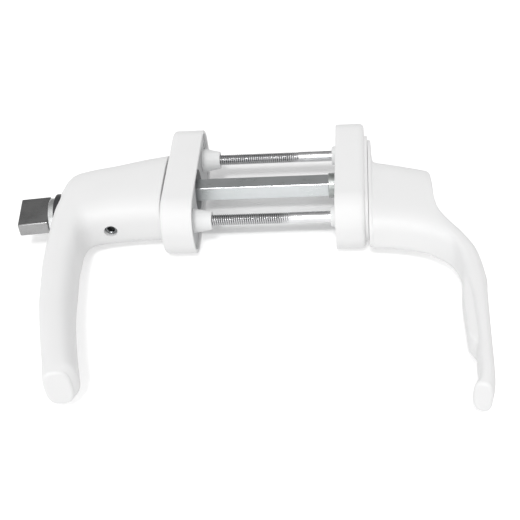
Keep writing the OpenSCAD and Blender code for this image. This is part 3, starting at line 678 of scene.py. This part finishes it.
def sleeve_rib(x, z0):
    """The rib along a sleeve's upper side, from the sleeve's end to its plate."""
    end, root, low = x + SLEEVE_OUT[LEFT] - 0.1, x - SLEEVE_SEAT, 2.6
    profile = soft_corners([(end, low, 0), (end, 3.8, 0.6), (root, 8.4, 0.3), (root, low, 0)], 0)
    rings = [[(px, y, z0 + z * k) for px, z in profile]
             for y, k in ((-1.5, 0.96), (-1.3, 1), (1.3, 1), (1.5, 0.96))]
    return solid("rib", loft(rings), PLASTIC)


for side, word in ((LEFT, "left"), (RIGHT, "right")):
    for level, z0 in (("upper", SCREW_Z), ("lower", -SCREW_Z)):
        out, seat, bore = -SLEEVE_OUT[side], SLEEVE_SEAT, SCREW_R + 0.07
        profile = [(out, 4, 0.3), (seat, 5.38, 0.1), (seat, 3.55, 0.1), (4.2, 3.55, 0.1),
                   (4.2, 4, 0.1), (5.4, 4, 0.3), (5.4, bore, 0.1), (out, bore, 0.25)]
        sleeve = solid(word + "_" + level + "_sleeve_body", turned(profile, side, z0), PLASTIC, 35)
        if (word, level) == ("left", "upper"):
            join(sleeve, sleeve_rib(-HALF_GAP, z0))
            smooth(sleeve, 35)
        dress(sleeve, "door_side", (word + "_" + level + "_sleeve",))

# Hubs, disc, bushes and rings

RING_SEAT_R = 7.3       # bottom of the retaining rings' grooves


def turned_hub(side, nose):
    """A hub with the groove for its retaining ring, from its nose's points outwards."""
    a, b, end = RING_AT[side] - CLEAR, RING_AT[side] + RING_T + CLEAR, HUB_END[side]
    return turned(nose + [(a, HUB_R, 0.05), (a, RING_SEAT_R, 0.02), (b, RING_SEAT_R, 0.02),
                          (b, HUB_R, 0.05), (end, HUB_R, 0.2), (end, 0.0)], side, closed=False)


hub = solid("left_hub_body", turned_hub(LEFT, [(8.85, 0.0), (8.85, HUB_R, 0.3)]), HUB, 30)
cut(hub, square_hole(LEFT, 8, HUB_END[LEFT] + 2))
smooth(hub, 30)
dress(hub, "handle", ("left_hub",))

# the plain side's hub has a slit nose that stands out of the plate
NOSE_R, NOSE_IN, BODY_R = 5.5, -3.4, 6.5
hub = solid("right_hub_body", turned_hub(
    RIGHT, [(NOSE_IN, 0.0), (NOSE_IN, NOSE_R, 0.4), (1.2, NOSE_R, 0.05), (1.2, BODY_R, 0.05),
            (6.6, BODY_R, 0.05), (6.6, HUB_R, 0.3)]), HUB, 30)
cut(hub, square_hole(RIGHT, -5, 21),
    *[slab(RIGHT, -5, -0.5, 0.35, 3.4, HUB_R, turn) for turn in (45, 135, 225, 315)])
smooth(hub, 30)
dress(hub, "handle", ("right_hub",))

# the indexing disc, with rings turned in the face that shows through the plate
DISC_IN, DISC_OUT, DISC_R, LOW = 4.45, 8.6, 10.2, 0.3
disc = solid("left_index_disc_body", turned(
    [(DISC_IN, 0.0), (DISC_IN, 5.6, 0.1), (DISC_IN + LOW, 5.8, 0.1), (DISC_IN + LOW, 6.6, 0.1),
     (DISC_IN, 6.8, 0.1), (DISC_IN, 7.9, 0.1), (DISC_IN + LOW, 8.1, 0.1),
     (DISC_IN + LOW, 8.6, 0.1), (DISC_IN, 8.8, 0.1), (DISC_IN, DISC_R, 0.2),
     (DISC_OUT, DISC_R, 0.2), (DISC_OUT, 0.0)], LEFT, closed=False), DISC_METAL_AND_RECESS_SHADE, 30)
cut(disc, square_hole(LEFT, 4, 9),
    *[spoke(out_at(LEFT, (DISC_IN + DISC_OUT) / 2), way * 4.3, way * (DISC_R + 0.4), 1.56)
      for way in (-1, 1)])
smooth(disc, 30)
dress(disc, "handle", ("left_index_disc",))

for side, word in ((LEFT, "left"), (RIGHT, "right")):
    end, bore, flange = ROSETTE_T[side], HUB_R + CLEAR, BUSH_R + 1
    piece(word + "_bush_body", turned(
        [(end - 3, bore, 0.15), (end, bore, 0.15), (end, BUSH_R, 0.2), (end - 2, BUSH_R, 0.02),
         (end - 2, flange, 0.15), (end - 3, flange, 0.15)], side),
        BUSH, "door_side", word + "_bush", 35)
    start, end, low, high = RING_AT[side], RING_AT[side] + RING_T, RING_SEAT_R + CLEAR, HUB_R + 0.7
    ring = solid(word + "_retaining_ring_body", turned(
        [(start, low, 0.05), (end, low, 0.05), (end, high, 0.1), (start, high, 0.1)], side),
        SPRING, 30)
    cut(ring, slab(side, start - 0.65, end + 0.65, 0.7, 0, high + 0.3))
    smooth(ring, 30)
    dress(ring, "handle", (word + "_retaining_ring",))

# Lock and key

BARREL_FLOOR = BARREL_IN + 0.8      # inner end of the plug's bore
BLADE_W, BLADE_T = 8, 2.4
BOW_IN = BARREL_OUT + 1
BOW_L, BOW_W, BOW_T = 13.6, 18.3, 6.5
BOW_EDGE, BOW_UP = 0.7, 1.1
BOW_LEAN = 5.8                      # degrees

bore = BARREL_R + CLEAR
# the guide ring's near-black is its dark plastic and also painted shade of the gap between barrel and
# bore
piece("lock_guide_ring", turned(
    [(GUIDE_IN, bore, 0.1), (GUIDE_OUT, bore, 0.25), (GUIDE_OUT, GUIDE_R, 0.4),
     (GUIDE_IN, GUIDE_R, 0.1)], LEFT, LOCK_Z), DARK_PLASTIC_AND_GAP_SHADE, "handle", "lock_guide", 30)

bore = PLUG_R + CLEAR
piece("lock_barrel_body", turned(
    [(BARREL_IN, 0.0), (BARREL_IN, BARREL_R, 0.3), (BARREL_OUT, BARREL_R, 0.7),
     (BARREL_OUT, bore, 0.15), (BARREL_FLOOR, bore, 0.1), (BARREL_FLOOR, 0.0)],
    LEFT, LOCK_Z, closed=False), LOCK, "lock_cylinder", "lock_barrel", 30)

start, end = BARREL_FLOOR + CLEAR, BARREL_OUT - CLEAR
plug = solid("lock_plug_body", turned(
    [(start, 0.0), (start, PLUG_R, 0.2), (end, PLUG_R, 0.25), (end, 0.0)], LEFT, LOCK_Z,
    closed=False), LOCK, 30)
half = BLADE_W / 2 + CLEAR
cut(plug, slab(LEFT, 51.5, BARREL_OUT + 2, BLADE_T / 2 + CLEAR, -half, half, 0, LOCK_Z))
smooth(plug, 30)
dress(plug, "key_plug", ("lock_plug",))

bow = solid("key_bow_block", box((-BOW_L, -BOW_T / 2, -BOW_W / 2), (0, BOW_T / 2, BOW_W / 2)), KEY)
bow.data.transform(Matrix.Translation(Vector((out_at(LEFT, BOW_IN), 0, LOCK_Z + BOW_UP)) * MM)
                   @ Matrix.Rotation(math.radians(-BOW_LEAN), 4, "Y"))
soften(bow, BOW_EDGE, 5)
half = BLADE_W / 2
cut(bow, slab(LEFT, BOW_IN - 1, BOW_IN + BOW_L / 2 + 0.1, BLADE_T / 2, -half, half, 0, LOCK_Z))
smooth(bow, 30)
dress(bow, "key_plug", ("key_bow",))

# Small solids that keep the frame's own shape

for node, mat in (("left_base_plate", PLATE_COAT_AND_RECESS_SHADE), ("right_base_plate", PLATE_COAT_AND_RECESS_SHADE),
                  ("detent_balls", SPRING), ("detent_springs", SPRING), ("lock_spring", SPRING),
                  ("locking_pin", SCREW), ("key_blade", LOCK)):
    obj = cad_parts[node]
    obj.data.materials.clear()
    obj.data.materials.append(mat)

# Table, light and camera

TABLE_Y = 14.6          # the table lies just behind the rosettes
TABLE_HALF = 4.0        # in metres
TABLE_LIFT = 0.24       # light that whitens the table's shadows round the object
GLOW, DIM = 0.3, 0.5    # the table's own light and its grey, for the rays that light the pieces
WORLD = 0.88            # level of the even light from all round
# where the table keeps its shadows, and over what length they begin and end
SHADE_X, SHADE_X_SOFT = (-46, 38), 6
SHADE_Z, SHADE_Z_SOFT = (-12.5, 42), 2


def band(tree, value, low, high, soft):
    """1 between two places and 0 beyond them, with soft ends."""
    parts = []
    for start, end in ((low - soft, low), (high + soft, high)):
        node = add(tree, "ShaderNodeMapRange", interpolation_type="SMOOTHSTEP")
        node.inputs["From Min"].default_value = start * MM
        node.inputs["From Max"].default_value = end * MM
        tree.links.new(value, node.inputs["Value"])
        parts.append(node.outputs["Result"])
    both = add(tree, "ShaderNodeMath", operation="MULTIPLY")
    for k in (0, 1):
        tree.links.new(parts[k], both.inputs[k])
    return both.outputs[0]


def grey(level):
    """The colour of a grey level."""
    return (level, level, level)


def matte(tree, level, light):
    """A diffuse surface that also gives light: a level, or a colour from another node."""
    base = add(tree, "ShaderNodeBsdfDiffuse")
    base.inputs["Color"].default_value = (*grey(level), 1)
    own = add(tree, "ShaderNodeEmission")
    if isinstance(light, float):
        own.inputs["Strength"].default_value = light
    else:
        tree.links.new(light, own.inputs["Color"])
    both = add(tree, "ShaderNodeAddShader")
    tree.links.new(base.outputs[0], both.inputs[0])
    tree.links.new(own.outputs[0], both.inputs[1])
    return both.outputs[0]


def choose(tree, test, no, yes):
    """One shader or another, by a test."""
    node = add(tree, "ShaderNodeMixShader")
    for k, value in enumerate((test, no, yes)):
        tree.links.new(value, node.inputs[k])
    return node.outputs[0]


def table_material():
    """White round the object, with its own shadows between the rosettes; clear from behind."""
    mat = bpy.data.materials.new("table_white")
    mat.use_nodes = True
    tree = mat.node_tree
    tree.nodes.clear()
    place = add(tree, "ShaderNodeTexCoord")
    split = add(tree, "ShaderNodeSeparateXYZ")
    tree.links.new(place.outputs["Object"], split.inputs[0])
    inside = add(tree, "ShaderNodeMath", operation="MULTIPLY")
    tree.links.new(band(tree, split.outputs["X"], *SHADE_X, SHADE_X_SOFT), inside.inputs[0])
    tree.links.new(band(tree, split.outputs["Z"], *SHADE_Z, SHADE_Z_SOFT), inside.inputs[1])
    lift = tint(tree, inside.outputs[0], grey(TABLE_LIFT), grey(0))
    diffuse = add(tree, "ShaderNodeLightPath").outputs["Is Diffuse Ray"]
    front = choose(tree, diffuse, matte(tree, 1, lift), matte(tree, DIM, GLOW))
    behind = add(tree, "ShaderNodeNewGeometry").outputs["Backfacing"]
    clear = add(tree, "ShaderNodeBsdfTransparent").outputs[0]
    out = add(tree, "ShaderNodeOutputMaterial")
    tree.links.new(choose(tree, behind, front, clear), out.inputs["Surface"])
    return mat


mesh = bpy.data.meshes.new("table")
mesh.from_pydata([(x * TABLE_HALF, TABLE_Y * MM, z * TABLE_HALF)
                  for x, z in ((-1, -1), (1, -1), (1, 1), (-1, 1))], [], [(0, 1, 2, 3)])
table = bpy.data.objects.new("table", mesh)
bpy.context.scene.collection.objects.link(table)
table.data.materials.append(table_material())


def room_light():
    """An even grey room: white to the camera, and darker towards the top for what metal mirrors."""
    world = bpy.data.worlds.new("studio")
    bpy.context.scene.world = world
    world.use_nodes = True
    tree = world.node_tree
    tree.nodes.clear()
    path = add(tree, "ShaderNodeLightPath")
    place = add(tree, "ShaderNodeTexCoord")
    split = add(tree, "ShaderNodeSeparateXYZ")
    tree.links.new(place.outputs["Generated"], split.inputs[0])
    mirrored = spread(tree, split.outputs["Z"], 0.95, 0.4, -0.25, 0.55)
    room = add(tree, "ShaderNodeMix", data_type="FLOAT")
    tree.links.new(path.outputs["Is Glossy Ray"], room.inputs[0])
    room.inputs[2].default_value = WORLD
    tree.links.new(mirrored, room.inputs[3])
    shown = add(tree, "ShaderNodeMix", data_type="FLOAT")
    tree.links.new(path.outputs["Is Camera Ray"], shown.inputs[0])
    tree.links.new(room.outputs[0], shown.inputs[2])
    shown.inputs[3].default_value = 1.0
    back = add(tree, "ShaderNodeBackground")
    tree.links.new(shown.outputs[0], back.inputs["Strength"])
    out = add(tree, "ShaderNodeOutputWorld")
    tree.links.new(back.outputs[0], out.inputs["Surface"])


room_light()


def lamp(name, direction, spread_angle, level):
    """A far soft lamp whose light adds a level to a white surface that faces it."""
    data = bpy.data.lights.new(name, "SUN")
    data.angle = math.radians(spread_angle)
    data.energy = level * math.pi
    obj = bpy.data.objects.new(name, data)
    towards = Vector(direction).normalized()
    obj.location = towards
    obj.rotation_euler = towards.to_track_quat("Z", "Y").to_euler()
    bpy.context.scene.collection.objects.link(obj)


lamp("key", (-0.02, -1.0, -0.66), 9, 0.3)
lamp("front", (-0.1, -0.3, -1.0), 35, 0.12)
lamp("left", (-1.0, -0.35, -0.3), 35, 0.07)

# the camera, as solved from the photograph's straight edges, screws and rosettes
PICTURE_W = 520         # pixels
FOCAL = 1115.2          # pixels
SENSOR = 36             # millimetres
CAMERA_AT = (0.04856, -0.31356, -0.38962)       # metres
camera = bpy.data.objects.new("camera", bpy.data.cameras.new("camera"))
right = Vector((0.99391147, 0.09349929, 0.05829127))
up = Vector((0.0292879, -0.7342092, 0.67829128))
behind = Vector((0.10621774, -0.67245426, -0.73247735))
place = Matrix((right, up, behind)).transposed().to_4x4()
place.translation = Vector(CAMERA_AT)
camera.matrix_world = place
camera.data.sensor_width = SENSOR
camera.data.lens = SENSOR * FOCAL / PICTURE_W
camera.data.clip_start = 0.01
camera.data.clip_end = 20
bpy.context.scene.collection.objects.link(camera)
bpy.context.scene.camera = camera
bpy.context.scene.view_settings.view_transform = "Standard"
